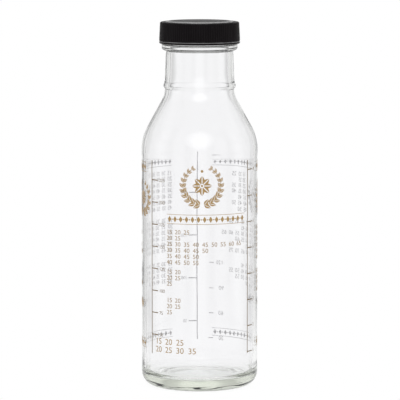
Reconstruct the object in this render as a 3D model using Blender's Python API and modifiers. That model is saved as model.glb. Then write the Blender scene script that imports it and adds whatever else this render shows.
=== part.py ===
"""Round glass sauce bottle with a ribbed screw cap, a foam liner and three fired measuring scales.

Metres, +Z up. The origin is the centre of the foot ring, on the surface that the bottle stands on.
The cap is drawn screwed shut. It unscrews anticlockwise, seen from above, and climbs one thread
pitch in each turn.
"""

import math

import bmesh
import bpy

# Body of the bottle
BODY_RADIUS = 0.0290
BOTTLE_HEIGHT = 0.17976
GLASS_WALL = 0.0021
PANEL_RECESS = 0.00015
UPPER_BAND_HEIGHT = 0.0022
LOWER_BAND_HEIGHT = 0.0052
BAND_EDGE = 0.0006

# Foot of the bottle
HEEL_ROUND = 0.0070
FOOT_RING_WIDTH = 0.0026
PUSH_UP_HEIGHT = 0.0025
FLOOR_THICKNESS = 0.0040
FLOOR_DROP = 0.00125
INNER_HEEL_ROUND = 0.00595

# Shoulder, which is a cone between two rounds
SHOULDER_DROP_BELOW_RIM = 0.03047
SHOULDER_ROUND = 0.0253
NECK_ROUND = 0.0124
SHOULDER_ANGLE = math.radians(28.7)

# Neck and its ring, whose upper side is a slope and whose underside is a short round
NECK_RADIUS = 0.0173
NECK_TAPER = 0.00050
RING_RISE = 0.00095
RING_DROP_BELOW_RIM = 0.0294
RING_SLOPE = 0.0030
RING_UNDERSIDE = 0.0017

# Threaded finish at the mouth
MOUTH_RADIUS = 0.0149
FINISH_RADIUS = 0.0174
RIM_ROUND = 0.0008
BEAD_RISE = 0.00175
BEAD_HALF_HEIGHT = 0.0020
BEAD_DROP_BELOW_RIM = 0.01006
THREAD_PITCH = 0.004233
GLASS_THREAD_RADIUS = 0.00115
THREAD_LEAD_IN = 0.0012
THREAD_END_GAP = 0.00015

# Cap
CAP_HEIGHT = 0.01106
CAP_THREAD_RADIUS = 0.00110
THREAD_CREST_GAP = 0.00040
CAP_TOP_WALL = 0.0009
SKIRT_WALL_TOP = 0.00068
SKIRT_WALL_FOOT = 0.00110
DISC_RISE = 0.0005
DISC_RADIUS = 0.0165
DISC_EDGE = 0.0004
CAP_SHOULDER_ROUND = 0.0005
FOOT_BEAD_HEIGHT = 0.0013
FOOT_BEAD_ROUND = 0.0004
SKIRT_LEAD_IN = 0.0005
CAP_THREAD_TOP_GAP = 0.0013
RIB_COUNT = 104
RIB_DEPTH = 0.00026
RIB_WIDTH_SHARE = 0.5

# Liner
LINER_THICKNESS = 0.0010
LINER_SIDE_GAP = 0.00035
SEAT_GAP = 0.0003

# Fired print: upright rules with ticks. A tick step is how far that much liquid rises in the
# straight body, counted from the level at which a bottle with a flat floor would be empty
SCALE_GAP = 0.0001
SCALE_THICKNESS = 0.0001
SCALE_LINE = 0.00038
SCALE_FOOT_MARGIN = 0.0056
SCALE_TOP_MARGIN = 0.00067
SCALE_ZERO_BELOW_FLOOR = 0.00037
TICK_LENGTH = 0.0046
STEP_25_ML = 0.0110
STEP_1_OUNCE = 0.0130
STEP_50_ML = 0.0220
SCALES = {
    "scale_print_left": (math.radians(-54.5), STEP_25_ML),
    "scale_print_right": (math.radians(55.0), STEP_1_OUNCE),
    "scale_print_back": (math.radians(182.5), STEP_50_ML),
}

# Fineness of the round shapes
GLASS_STEPS = 48
CAP_STEPS = 52
ROUND_STEPS = 3
SHOULDER_STEPS = 4
HEEL_STEPS = 6
FLOOR_STEPS = 4
BEAD_STEPS = 8
RING_STEPS = 4
HELIX_POINTS_PER_TURN = 28
HELIX_LEAST_POINTS = 4
RIB_SIDES = 4
NECK_ARC_START_SHARE = 0.25
THREAD_END_SHARE = 0.3
THREAD_FADE_SHARE = 0.12
COMB_DEPTH_SHARE = 0.25
CUT_OVERRUN = 0.002
MERGE_DISTANCE = 0.000005
SHARP_ANGLE = math.radians(35)

# Places that follow from the sizes above
SHOULDER_RUN = BODY_RADIUS - NECK_RADIUS - (NECK_ROUND + SHOULDER_ROUND) * (1 - math.cos(SHOULDER_ANGLE))
SHOULDER_RISE = (
    (NECK_ROUND + SHOULDER_ROUND) * math.sin(SHOULDER_ANGLE) + SHOULDER_RUN / math.tan(SHOULDER_ANGLE))
RIM_Z = BOTTLE_HEIGHT
SHOULDER_TOP_Z = RIM_Z - SHOULDER_DROP_BELOW_RIM
SHOULDER_FOOT_Z = SHOULDER_TOP_Z - SHOULDER_RISE
UPPER_BAND_Z = SHOULDER_FOOT_Z - UPPER_BAND_HEIGHT
LOWER_BAND_Z = HEEL_ROUND + LOWER_BAND_HEIGHT
FLOOR_Z = PUSH_UP_HEIGHT + FLOOR_THICKNESS
BEAD_Z = RIM_Z - BEAD_DROP_BELOW_RIM
RING_Z = RIM_Z - RING_DROP_BELOW_RIM
LINER_Z = RIM_Z + SEAT_GAP
CAP_CEILING_Z = LINER_Z + LINER_THICKNESS + SEAT_GAP
CAP_SHOULDER_Z = CAP_CEILING_Z + CAP_TOP_WALL
CAP_TOP_Z = CAP_SHOULDER_Z + DISC_RISE
CAP_FOOT_Z = CAP_TOP_Z - CAP_HEIGHT
PANEL_RADIUS = BODY_RADIUS - PANEL_RECESS
SCALE_FOOT = LOWER_BAND_Z + BAND_EDGE + SCALE_FOOT_MARGIN
SCALE_TOP = UPPER_BAND_Z - BAND_EDGE - SCALE_TOP_MARGIN
SCALE_ZERO = FLOOR_Z - SCALE_ZERO_BELOW_FLOOR
CAP_BORE = FINISH_RADIUS + GLASS_THREAD_RADIUS + THREAD_CREST_GAP


def arc(centre, radius, start, end, steps):
    """Points (r, z) on a circular arc; angles in degrees from the outward direction."""
    points = []
    for step in range(steps + 1):
        angle = math.radians(start + (end - start) * step / steps)
        points.append((centre[0] + radius * math.cos(angle), centre[1] + radius * math.sin(angle)))
    return points


def cosine_bump(r, z, rise, above, below, steps):
    """Points down a raised ring at height z, which swells by rise and fades out above and below."""
    points = []
    for step in range(-steps, steps + 1):
        share = step / steps
        reach = above if step < 0 else below
        points.append((r + rise * (1 + math.cos(math.pi * share)) / 2, z - share * reach))
    return points


def shoulder(inset, steps):
    """Points down the shoulder, from the neck round to the body, moved inward by inset."""
    turn = math.degrees(SHOULDER_ANGLE)
    neck_centre = (NECK_RADIUS + NECK_ROUND, SHOULDER_TOP_Z)
    body_centre = (BODY_RADIUS - SHOULDER_ROUND, SHOULDER_FOOT_Z)
    start = turn * NECK_ARC_START_SHARE
    upper = arc(neck_centre, NECK_ROUND + inset, 180 + start, 180 + turn, steps)
    lower = arc(body_centre, SHOULDER_ROUND - inset, turn, 0, steps)
    return upper + lower


def dome(radius, edge_z, rise):
    """Points on a low dome, from the axis to its edge at the given radius."""
    points = []
    for step in range(FLOOR_STEPS):
        share = step / FLOOR_STEPS
        points.append((radius * share, edge_z + rise * math.cos(math.pi * share / 2)))
    return points


def transfer_bead():
    """Points down the bead under the thread, from the finish above it to the thinner neck below."""
    points = []
    for step in range(BEAD_STEPS + 1):
        angle = math.pi * (0.5 - step / BEAD_STEPS)
        root = FINISH_RADIUS if angle > 0 else NECK_RADIUS - NECK_TAPER
        rise = FINISH_RADIUS + BEAD_RISE - root
        points.append((root + rise * math.cos(angle), BEAD_Z + BEAD_HALF_HEIGHT * math.sin(angle)))
    return points


def bottle_profile():
    """The bottle's half section: inner floor, up the inside, over the rim, down the outside, foot."""
    inner_radius = BODY_RADIUS - GLASS_WALL
    inner_heel_centre = (inner_radius - INNER_HEEL_ROUND, FLOOR_Z - FLOOR_DROP + INNER_HEEL_ROUND)
    heel_centre = (BODY_RADIUS - HEEL_ROUND, HEEL_ROUND)
    foot_inner = BODY_RADIUS - HEEL_ROUND - FOOT_RING_WIDTH
    rim_inner = (MOUTH_RADIUS + RIM_ROUND, RIM_Z - RIM_ROUND)
    rim_outer = (FINISH_RADIUS - RIM_ROUND, RIM_Z - RIM_ROUND)

    inside = dome(inner_heel_centre[0], FLOOR_Z - FLOOR_DROP, FLOOR_DROP)
    inside += arc(inner_heel_centre, INNER_HEEL_ROUND, -90, 0, HEEL_STEPS)
    inside += reversed(shoulder(GLASS_WALL, SHOULDER_STEPS))
    inside += [(NECK_RADIUS - GLASS_WALL, RING_Z), (MOUTH_RADIUS, BEAD_Z)]
    inside += arc(rim_inner, RIM_ROUND, 180, 90, ROUND_STEPS)

    outside = arc(rim_outer, RIM_ROUND, 90, 0, ROUND_STEPS)
    outside += transfer_bead()
    outside += cosine_bump(NECK_RADIUS, RING_Z, RING_RISE, RING_SLOPE, RING_UNDERSIDE, RING_STEPS)
    outside += shoulder(0, SHOULDER_STEPS)
    outside += [(BODY_RADIUS, UPPER_BAND_Z), (PANEL_RADIUS, UPPER_BAND_Z - BAND_EDGE)]
    outside += [(PANEL_RADIUS, LOWER_BAND_Z + BAND_EDGE), (BODY_RADIUS, LOWER_BAND_Z)]
    outside += arc(heel_centre, HEEL_ROUND, 0, -90, HEEL_STEPS)
    outside += [(foot_inner, 0)]
    outside += reversed(dome(foot_inner, 0, PUSH_UP_HEIGHT))
    return inside + outside


def cap_profile():
    """The cap's half section without ribs: down the outside, round the foot and up the bore."""
    skirt_top = CAP_BORE + SKIRT_WALL_TOP
    skirt_foot = CAP_BORE + SKIRT_WALL_FOOT
    bead = skirt_foot + RIB_DEPTH
    bead_top_z = CAP_FOOT_Z + FOOT_BEAD_HEIGHT
    outside = [(0, CAP_TOP_Z), (DISC_RADIUS - DISC_EDGE, CAP_TOP_Z), (DISC_RADIUS, CAP_SHOULDER_Z)]
    outside += arc(
        (skirt_top - CAP_SHOULDER_ROUND, CAP_SHOULDER_Z - CAP_SHOULDER_ROUND),
        CAP_SHOULDER_ROUND, 90, 0, ROUND_STEPS)
    outside += [(skirt_foot, bead_top_z + RIB_DEPTH), (bead, bead_top_z)]
    bead_centre = (bead - FOOT_BEAD_ROUND, CAP_FOOT_Z + FOOT_BEAD_ROUND)
    outside += arc(bead_centre, FOOT_BEAD_ROUND, 0, -90, ROUND_STEPS)
    return outside + [(CAP_BORE, CAP_FOOT_Z), (CAP_BORE, CAP_CEILING_Z), (0, CAP_CEILING_Z)]


def liner_profile():
    """The liner's half section, a plain disc that fits the cap's bore with room at its edge."""
    radius = CAP_BORE - LINER_SIDE_GAP
    top = LINER_Z + LINER_THICKNESS
    return [(0, top), (radius, top), (radius, LINER_Z), (0, LINER_Z)]


def sleeve_profile():
    """A closed half section of the thin layer in which the print lies, just off the panel."""
    inner = PANEL_RADIUS + SCALE_GAP
    outer = inner + SCALE_THICKNESS
    low = SCALE_FOOT - CUT_OVERRUN
    high = SCALE_TOP + CUT_OVERRUN
    return [(inner, high), (outer, high), (outer, low), (inner, low)]


def make_material(name, colour, roughness, metallic=0.0, transmission=0.0):
    """A plain Principled material for one sub-part."""
    material = bpy.data.materials.new(name)
    material.use_nodes = True
    shader = material.node_tree.nodes["Principled BSDF"]
    shader.inputs["Base Color"].default_value = colour
    shader.inputs["Roughness"].default_value = roughness
    shader.inputs["Metallic"].default_value = metallic
    shader.inputs["Transmission Weight"].default_value = transmission
    return material


def add_object(name, mesh, collection):
    """A new object with the given mesh, linked to one collection."""
    thing = bpy.data.objects.new(name, mesh)
    collection.objects.link(thing)
    return thing


def hide_cutter(thing):
    """Marks an object as construction only."""
    thing.hide_render = True
    thing.display_type = "WIRE"


def applied(thing, name, collection):
    """A new object whose mesh is the evaluated one of thing, with loose caps welded."""
    graph = bpy.context.evaluated_depsgraph_get()
    mesh = bpy.data.meshes.new_from_object(thing.evaluated_get(graph))
    work = bmesh.new()
    work.from_mesh(mesh)
    bmesh.ops.remove_doubles(work, verts=work.verts, dist=MERGE_DISTANCE)
    bmesh.ops.recalc_face_normals(work, faces=work.faces)
    work.to_mesh(mesh)
    work.free()
    matrix = thing.matrix_world.copy()
    bpy.data.objects.remove(thing)
    mesh.name = name
    result = add_object(name, mesh, collection)
    result.matrix_world = matrix
    return result


def turned(name, profile, steps, collection, closed=False):
    """A profile of (r, z) points turned about the Z axis by a Screw modifier."""
    mesh = bpy.data.meshes.new(name)
    edges = [(i, i + 1) for i in range(len(profile) - 1)]
    if closed:
        edges.append((len(profile) - 1, 0))
    mesh.from_pydata([(r, 0, z) for r, z in profile], edges, [])
    thing = add_object(name, mesh, collection)
    screw = thing.modifiers.new("turn", "SCREW")
    screw.axis = "Z"
    screw.angle = math.tau
    screw.steps = steps
    screw.render_steps = steps
    screw.use_merge_vertices = True
    screw.merge_threshold = MERGE_DISTANCE
    return applied(thing, name, collection)


def helix_tube(name, radius, tube_radius, low, high, level_z, collection):
    """A thread ridge from low to high, on the right-hand helix that crosses +X at level_z."""
    turns = (high - low) / THREAD_PITCH
    count = max(HELIX_LEAST_POINTS, math.ceil(turns * HELIX_POINTS_PER_TURN))
    curve = bpy.data.curves.new(name, "CURVE")
    curve.dimensions = "3D"
    curve.bevel_depth = tube_radius
    curve.bevel_resolution = 2
    curve.use_fill_caps = True
    spline = curve.splines.new("POLY")
    spline.points.add(count)
    for index, point in enumerate(spline.points):
        share = index / count
        z = low + (high - low) * share
        angle = math.tau * (z - level_z) / THREAD_PITCH
        point.co = (radius * math.cos(angle), radius * math.sin(angle), z, 1)
        fade = min(share, 1 - share) / THREAD_FADE_SHARE
        point.radius = min(1, THREAD_END_SHARE + (1 - THREAD_END_SHARE) * fade)
    thing = add_object(name, curve, collection)
    return applied(thing, name, collection)


def boolean(thing, other, operation):
    """A live Boolean modifier between a sub-part and a construction object."""
    modifier = thing.modifiers.new(operation.lower(), "BOOLEAN")
    modifier.operation = operation
    modifier.solver = "EXACT"
    modifier.object = other
    hide_cutter(other)


def finish_look(thing, material):
    """Gives a sub-part its material and smooth shading with crisp edges."""
    thing.data.materials.clear()
    thing.data.materials.append(material)
    thing.data.shade_smooth()
    thing.data.set_sharp_from_angle(angle=SHARP_ANGLE)


def make_bottle(parts, cutters):
    """The bottle, blown in one piece with its thread."""
    bottle = turned("glass_bottle", bottle_profile(), GLASS_STEPS, parts)
    top = RIM_Z - THREAD_LEAD_IN - GLASS_THREAD_RADIUS
    low = BEAD_Z + BEAD_HALF_HEIGHT + THREAD_END_GAP + GLASS_THREAD_RADIUS
    thread = helix_tube(
        "glass_thread", FINISH_RADIUS, GLASS_THREAD_RADIUS, low, top, top, cutters)
    boolean(bottle, thread, "UNION")
    finish_look(bottle, make_material("clear_glass", (0.93, 0.95, 0.94, 1), 0.02, 0, 1))
    return bottle


def make_ribs(cutters):
    """Upright grip ribs around the skirt, as one construction mesh."""
    low = CAP_FOOT_Z + FOOT_BEAD_HEIGHT - RIB_DEPTH
    high = CAP_SHOULDER_Z - CAP_SHOULDER_ROUND
    top_radius = CAP_BORE + SKIRT_WALL_TOP
    foot_radius = CAP_BORE + SKIRT_WALL_FOOT
    slope = (foot_radius - top_radius) / (high - low)
    width = math.tau * top_radius / RIB_COUNT * RIB_WIDTH_SHARE
    mesh = bpy.data.meshes.new("cap_ribs")
    work = bmesh.new()
    for index in range(RIB_COUNT):
        angle = math.tau * (index + 0.5) / RIB_COUNT
        bar = bmesh.ops.create_cone(
            work, cap_ends=True, segments=RIB_SIDES, radius1=width / 2, radius2=width / 2,
            depth=high - low)
        for vertex in bar["verts"]:
            x, y, z = vertex.co
            height = (low + high) / 2 + z
            reach = top_radius + slope * (high - height)
            outward = reach + x * (RIB_DEPTH / (width / 2))
            vertex.co.x = outward * math.cos(angle) - y * math.sin(angle)
            vertex.co.y = outward * math.sin(angle) + y * math.cos(angle)
            vertex.co.z = height
    work.to_mesh(mesh)
    work.free()
    return add_object("cap_ribs", mesh, cutters)


def make_cap(parts, cutters):
    """The screw cap: shell, grip ribs and the thread inside its skirt."""
    cap = turned("screw_cap", cap_profile(), CAP_STEPS, parts)
    boolean(cap, make_ribs(cutters), "UNION")
    low = CAP_FOOT_Z + SKIRT_LEAD_IN + CAP_THREAD_RADIUS
    high = LINER_Z - CAP_THREAD_TOP_GAP - CAP_THREAD_RADIUS
    glass_level = RIM_Z - THREAD_LEAD_IN - GLASS_THREAD_RADIUS
    thread = helix_tube(
        "cap_thread", CAP_BORE, CAP_THREAD_RADIUS, low, high, glass_level - THREAD_PITCH / 2, cutters)
    boolean(cap, thread, "UNION")
    finish_look(cap, make_material("black_plastic", (0.012, 0.011, 0.013, 1), 0.35))
    return cap


def make_liner(parts):
    """The foam disc that seals on the rim."""
    liner = turned("cap_liner", liner_profile(), CAP_STEPS, parts)
    finish_look(liner, make_material("white_foam", (0.85, 0.85, 0.83, 1), 0.7))
    return liner


def scale_outline(tick_step):
    """The flat outline of one scale: an upright rule with ticks on one side, as (across, up)."""
    half = SCALE_LINE / 2
    points = [(-half, SCALE_FOOT), (half, SCALE_FOOT)]
    first = math.ceil((SCALE_FOOT + SCALE_LINE - SCALE_ZERO) / tick_step)
    last = math.floor((SCALE_TOP - SCALE_LINE - SCALE_ZERO) / tick_step)
    for number in range(first, last + 1):
        z = SCALE_ZERO + number * tick_step
        points += [(half, z - half), (TICK_LENGTH, z - half), (TICK_LENGTH, z + half), (half, z + half)]
    return points + [(half, SCALE_TOP), (-half, SCALE_TOP)]


def make_scale(name, angle, tick_step, material, parts, cutters):
    """One printed scale, cut out of a thin sleeve by a comb that points outward at angle."""
    reach = BODY_RADIUS + CUT_OVERRUN
    curve = bpy.data.curves.new(name + "_comb", "CURVE")
    curve.dimensions = "2D"
    curve.fill_mode = "BOTH"
    curve.extrude = reach * COMB_DEPTH_SHARE
    outline = scale_outline(tick_step)
    spline = curve.splines.new("POLY")
    spline.points.add(len(outline) - 1)
    spline.use_cyclic_u = True
    for point, (across, up) in zip(spline.points, outline):
        point.co = (across, up, 0, 1)
    comb = add_object(name + "_comb", curve, cutters)
    centre = reach - curve.extrude
    comb.location = (centre * math.sin(angle), -centre * math.cos(angle), 0)
    comb.rotation_euler = (math.pi / 2, 0, angle)
    bpy.context.view_layer.update()
    comb = applied(comb, name + "_comb", cutters)
    scale = turned(name, sleeve_profile(), GLASS_STEPS, parts, closed=True)
    boolean(scale, comb, "INTERSECT")
    finish_look(scale, material)
    return scale


def place_on_axis(name, parts, children):
    """An empty on the cap's turning axis, with the given sub-parts as its children."""
    empty = bpy.data.objects.new(name, None)
    parts.objects.link(empty)
    empty.location = (0, 0, RIM_Z)
    bpy.context.view_layer.update()
    for child in children:
        child.parent = empty
        child.matrix_parent_inverse = empty.matrix_world.inverted()
    return empty


def build():
    """Clears the scene and makes the whole bottle."""
    for thing in list(bpy.data.objects):
        bpy.data.objects.remove(thing)
    parts = bpy.data.collections.new("glass_sauce_bottle")
    cutters = bpy.data.collections.new("cutters")
    bpy.context.scene.collection.children.link(parts)
    bpy.context.scene.collection.children.link(cutters)
    make_bottle(parts, cutters)
    liner = make_liner(parts)
    cap = make_cap(parts, cutters)
    gold = make_material("fired_print", (0.42, 0.28, 0.13, 1), 0.5)
    for name, (angle, tick_step) in SCALES.items():
        make_scale(name, angle, tick_step, gold, parts, cutters)
    place_on_axis("cap_axis", parts, [liner, cap])


build()
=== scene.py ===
# %% [markdown]
# # A glass sauce bottle with a screw cap
# The real object is a round bottle of clear glass, a black ribbed cap with a foam disc in it, and a
# tan enamel print that was fired on the glass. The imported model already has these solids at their
# real size, in metres. This lesson keeps its frame and builds the finer pieces that stand for them:
# glass whose walls bend the light, ribs that catch it, and a print that reads as enamel.

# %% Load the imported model
import math

import bmesh
import bpy
import mathutils
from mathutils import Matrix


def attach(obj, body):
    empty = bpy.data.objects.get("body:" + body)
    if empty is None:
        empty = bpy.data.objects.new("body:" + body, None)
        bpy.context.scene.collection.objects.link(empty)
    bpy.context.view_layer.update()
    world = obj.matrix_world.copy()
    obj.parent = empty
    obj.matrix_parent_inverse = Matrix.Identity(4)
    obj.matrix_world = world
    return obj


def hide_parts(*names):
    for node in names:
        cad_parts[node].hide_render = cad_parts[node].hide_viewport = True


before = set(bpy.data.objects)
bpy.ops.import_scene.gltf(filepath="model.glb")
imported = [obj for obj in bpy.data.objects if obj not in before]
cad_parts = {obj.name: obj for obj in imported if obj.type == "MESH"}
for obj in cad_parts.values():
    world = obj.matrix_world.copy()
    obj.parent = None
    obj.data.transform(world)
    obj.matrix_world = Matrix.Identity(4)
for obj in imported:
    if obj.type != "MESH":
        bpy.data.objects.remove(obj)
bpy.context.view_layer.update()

# %% [markdown]
# ## The camera
# The photograph was taken from far away with a long lens, so that the bottle's sides stay nearly
# upright. The distance, the height and the lens below were worked out from the ellipses of the cap
# and of the foot, which get flatter as the camera moves away.

# %% Camera
CAMERA_DISTANCE = 1.5009
CAMERA_HEIGHT = 0.2595
CAMERA_PITCH = math.radians(6.326)
CAMERA_LENS = 271.7
CAMERA_SHIFT = 0.001
CAMERA_REACH = 20

camera_data = bpy.data.cameras.new("camera")
camera_data.lens = CAMERA_LENS
camera_data.shift_x = CAMERA_SHIFT
camera_data.clip_end = CAMERA_REACH
camera = bpy.data.objects.new("camera", camera_data)
camera.location = (0, -CAMERA_DISTANCE, CAMERA_HEIGHT)
camera.rotation_euler = (math.pi / 2 - CAMERA_PITCH, 0, 0)
bpy.context.scene.collection.objects.link(camera)
bpy.context.scene.camera = camera
bpy.context.scene.view_settings.view_transform = "Standard"
print("Camera:", CAMERA_DISTANCE, "m away, lens", CAMERA_LENS, "mm")

# %% [markdown]
# ## Helpers for node trees
# Shaders and Geometry Nodes are both graphs. Building them by hand in a script is long, so these
# helpers add a node and fill its inputs in one call: a plain value is set, and the output of
# another node is linked. An output also takes Python's own signs, so that a sum in the script reads
# as a sum and still becomes Math nodes in the tree.


# %% Outputs that take signs
class Output:
    """One output of a node. A sign between it and something else adds a Math node to its tree."""

    def __init__(self, socket):
        self.socket = socket
        self.tree = socket.id_data

    def __add__(self, other):
        return maths("ADD", self, other)

    def __sub__(self, other):
        return maths("SUBTRACT", self, other)

    def __rsub__(self, other):
        return maths("SUBTRACT", other, self)

    def __mul__(self, other):
        return maths("MULTIPLY", self, other)

    def __truediv__(self, other):
        return maths("DIVIDE", self, other)


class Outputs:
    """A node, whose outputs are taken by name or number in square brackets."""

    def __init__(self, node):
        self.node = node

    def __getitem__(self, key):
        return Output(self.node.outputs[key])


# %% Adding nodes
def fill(node, inputs):
    """Fills inputs, given by name or number, with plain values or with other outputs."""
    for key, value in inputs.items():
        if isinstance(value, Output):
            value.tree.links.new(value.socket, node.inputs[key])
        else:
            node.inputs[key].default_value = value


def place(tree, kind, inputs=None, **settings):
    """Adds a node, makes its settings, fills its inputs and gives its outputs."""
    node = tree.nodes.new(kind)
    for name, value in settings.items():
        setattr(node, name, value)
    fill(node, inputs or {})
    return Outputs(node)


def maths(operation, *values):
    """The output of a Math node with the given values or outputs."""
    tree = next(value.tree for value in values if isinstance(value, Output))
    return place(tree, "ShaderNodeMath", dict(enumerate(values)), operation=operation)[0]


def ramp(value, low, high, start=0.0, end=1.0):
    """A smooth step of value, from start at low to end at high."""
    inputs = {0: value, 1: low, 2: high, 3: start, 4: end}
    return place(value.tree, "ShaderNodeMapRange", inputs, interpolation_type="SMOOTHSTEP")[0]


def numbers_mix(factor, first, second):
    """Goes from the first number to the second."""
    return place(factor.tree, "ShaderNodeMix", {0: factor, 2: first, 3: second})[0]


def colours_mix(factor, first, second):
    """Goes from the first colour to the second."""
    return place(factor.tree, "ShaderNodeMix", {0: factor, 6: first, 7: second}, data_type="RGBA")[2]


def vector(tree, x=0.0, y=0.0, z=0.0):
    """Three numbers or outputs as one vector."""
    return place(tree, "ShaderNodeCombineXYZ", {0: x, 1: y, 2: z})[0]


# %% Groups
SOCKET_KINDS = {float: "Float", int: "Int"}


def new_tree(name, kind, inputs):
    """A node group and its inputs. Each has a default, or a word for a kind of socket without one."""
    tree = bpy.data.node_groups.new(name, kind + "NodeTree")
    for label, default in inputs.items():
        word = SOCKET_KINDS.get(type(default), default)
        socket = tree.interface.new_socket(label, in_out="INPUT", socket_type="NodeSocket" + word)
        if default != word:
            socket.default_value = default
    return tree, Outputs(tree.nodes.new("NodeGroupInput"))


def give(tree, kind, **results):
    """Adds the outputs of a group, all of one kind, and links the results to them."""
    for label in results:
        tree.interface.new_socket(label, in_out="OUTPUT", socket_type="NodeSocket" + kind)
    place(tree, "NodeGroupOutput", results)
    print(tree.name, "has", len(tree.nodes), "nodes")


def use(tree, group, inputs):
    """Places a group in a tree and gives its outputs."""
    return place(tree, group.bl_idname.replace("Tree", "Group"), inputs, node_tree=group)


# %% [markdown]
# ## The studio
# Clear glass has hardly any colour of its own. What it shows is the room, bent and mirrored. So the
# room around it is a ring of pale panels with soft gaps between them, under a darker ceiling: the
# panels fill the bottle with white and the gaps draw the grey lines along its sides. Every second
# panel, in the corners of the room, is a little dimmer, which is why a round neck shows broad grey
# bands at its sides. The ring repeats four times a turn, so that the glass looks alike from the
# front, the sides and the back. The camera itself sees plain white. A shader group gives the ring,
# because the floor and the world both use it.

# %% Ring of panels
PANEL_COUNT = 8
GAP_DEPTH = 0.25
GAP_EDGES = (0.1, -0.9)
CORNER_DEPTH = 0.15
CORNER_EDGES = (0.5, -0.7)
CEILING_LEVEL = 0.70
CEILING_EDGES = (0.45, 0.75)

ring, given = new_tree("panel_ring", "Shader", {
    "Direction": "Vector", "Gap Depth": GAP_DEPTH, "Corner Depth": CORNER_DEPTH, "Ceiling": CEILING_LEVEL})
axes = place(ring, "ShaderNodeSeparateXYZ", {0: given["Direction"]})
azimuth = maths("ARCTAN2", axes["X"], axes["Y"])
gap = ramp(maths("COSINE", azimuth * PANEL_COUNT), *GAP_EDGES) * given["Gap Depth"]
corner = ramp(maths("COSINE", azimuth * (PANEL_COUNT / 2)), *CORNER_EDGES) * given["Corner Depth"]
panels = 1.0 - gap - corner
ceiling = ramp(axes["Z"], *CEILING_EDGES)
give(ring, "Float", Brightness=(given["Ceiling"] - panels) * ceiling + panels)


# %% World
AMBIENT = 0.80


def by_ray(tree, start, choices):
    """A level by the kind of ray. Rays that are not named get start, and a later choice wins."""
    path = place(tree, "ShaderNodeLightPath")
    level = start
    for kind, choice in choices.items():
        level = numbers_mix(path["Is " + kind + " Ray"], level, choice)
    return level


world = bpy.data.worlds.new("studio")
bpy.context.scene.world = world
world.use_nodes = True
sky = world.node_tree
sky.nodes.clear()
panels = use(sky, ring, {"Direction": place(sky, "ShaderNodeTexCoord")["Generated"]})[0]
level = by_ray(sky, AMBIENT, {"Glossy": panels, "Transmission": panels, "Camera": 1.0})
backdrop = place(sky, "ShaderNodeBackground", {"Color": level})[0]
place(sky, "ShaderNodeOutputWorld", {"Surface": backdrop})
print("World nodes:", len(sky.nodes))

# %% Floor
FLOOR_RADIUS = 0.35
FLOOR_SEGMENTS = 128
FLOOR_COLOUR = (0.93, 0.93, 0.93, 1)
SHADE_RADII = (0.022, 0.032)
GLOW_SEEN = 0.92
GLOW_THROUGH_GLASS = 0.40

floor_mesh = bpy.data.meshes.new("floor")
work = bmesh.new()
bmesh.ops.create_circle(work, cap_ends=True, segments=FLOOR_SEGMENTS, radius=FLOOR_RADIUS)
work.to_mesh(floor_mesh)
work.free()
floor = bpy.data.objects.new("floor", floor_mesh)
bpy.context.scene.collection.objects.link(floor)

floor_look = bpy.data.materials.new("pale_floor")
floor_look.use_nodes = True
tree = floor_look.node_tree
tree.nodes.clear()
spot = place(tree, "ShaderNodeTexCoord")["Object"]
distance = place(tree, "ShaderNodeVectorMath", {0: spot}, operation="LENGTH")["Value"]
panels = use(tree, ring, {
    "Direction": spot, "Gap Depth": ramp(distance, SHADE_RADII[1], FLOOR_RADIUS, 0.0, GAP_DEPTH),
    "Corner Depth": ramp(distance, SHADE_RADII[1], FLOOR_RADIUS, 0.0, CORNER_DEPTH)})[0]
glow = by_ray(tree, panels, {"Camera": 1.0})
bent = ramp(distance, *SHADE_RADII, GLOW_THROUGH_GLASS, 1.0)
seen = ramp(distance, *SHADE_RADII, GLOW_SEEN, 1.0)
share = by_ray(tree, 0.0, {"Glossy": bent, "Transmission": bent, "Camera": seen})
matt = place(tree, "ShaderNodeBsdfDiffuse", {"Color": FLOOR_COLOUR})[0]
shine = place(tree, "ShaderNodeEmission", {"Color": glow})[0]
both = place(tree, "ShaderNodeMixShader", {0: share, 1: matt, 2: shine})[0]
place(tree, "ShaderNodeOutputMaterial", {"Surface": both})
floor_mesh.materials.append(floor_look)
print("Floor radius:", FLOOR_RADIUS, "m")

# %% [markdown]
# ## Lamps
# Soft oval lamps light the bottle. The two at the front, one inside the other, draw the pale spots
# on the shoulder and under the neck ring, whose edges they soften. One above lights the cap, and one
# high behind it gives the cap's disc its sheen. That last one is not seen through the glass. The
# lamps are wide, so that nothing gets a hard shadow, and their level is plain: a white card would
# render just under white.

# %% Soft boxes
AIM = (0, 0, 0.10)
LAMPS = {
    "front_box": {"at": (0, -1.25, 0.80), "width": 1.5, "height": 1.1, "level": 0.6},
    "front_heart": {"at": (0, -1.20, 0.79), "width": 1.0, "height": 0.7, "level": 0.5},
    "top_box": {"at": (0, 0.10, 1.30), "width": 1.0, "height": 1.0, "level": 1.0},
    "back_box": {"at": (0, 0.85, 0.95), "width": 0.9, "height": 0.5, "level": 2.1}}

for name, box in LAMPS.items():
    data = bpy.data.lights.new(name, "AREA")
    data.shape = "ELLIPSE"
    data.size = box["width"]
    data.size_y = box["height"]
    data.energy = box["level"] * math.pi * box["width"] * box["height"] * math.pi / 4
    lamp = bpy.data.objects.new(name, data)
    lamp.location = box["at"]
    way = [a - b for a, b in zip(AIM, box["at"])]
    lamp.rotation_euler = mathutils.Vector(way).to_track_quat("-Z", "Y").to_euler()
    lamp.visible_camera = False
    bpy.context.scene.collection.objects.link(lamp)
bpy.data.objects["back_box"].visible_transmission = False
print("Lamps:", list(LAMPS))

# %% [markdown]
# ## Shared surface effects
# No real surface has one even gloss. Plastic comes out of its mould faintly cloudy, enamel fires
# with small pits, and glass picks up a film from hands. One shader group makes this cloudiness from
# a coarse and a fine noise, and each material gives it its own scale and its own range. It reads
# Object coordinates, so that the pattern stays on a piece that moves.

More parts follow.
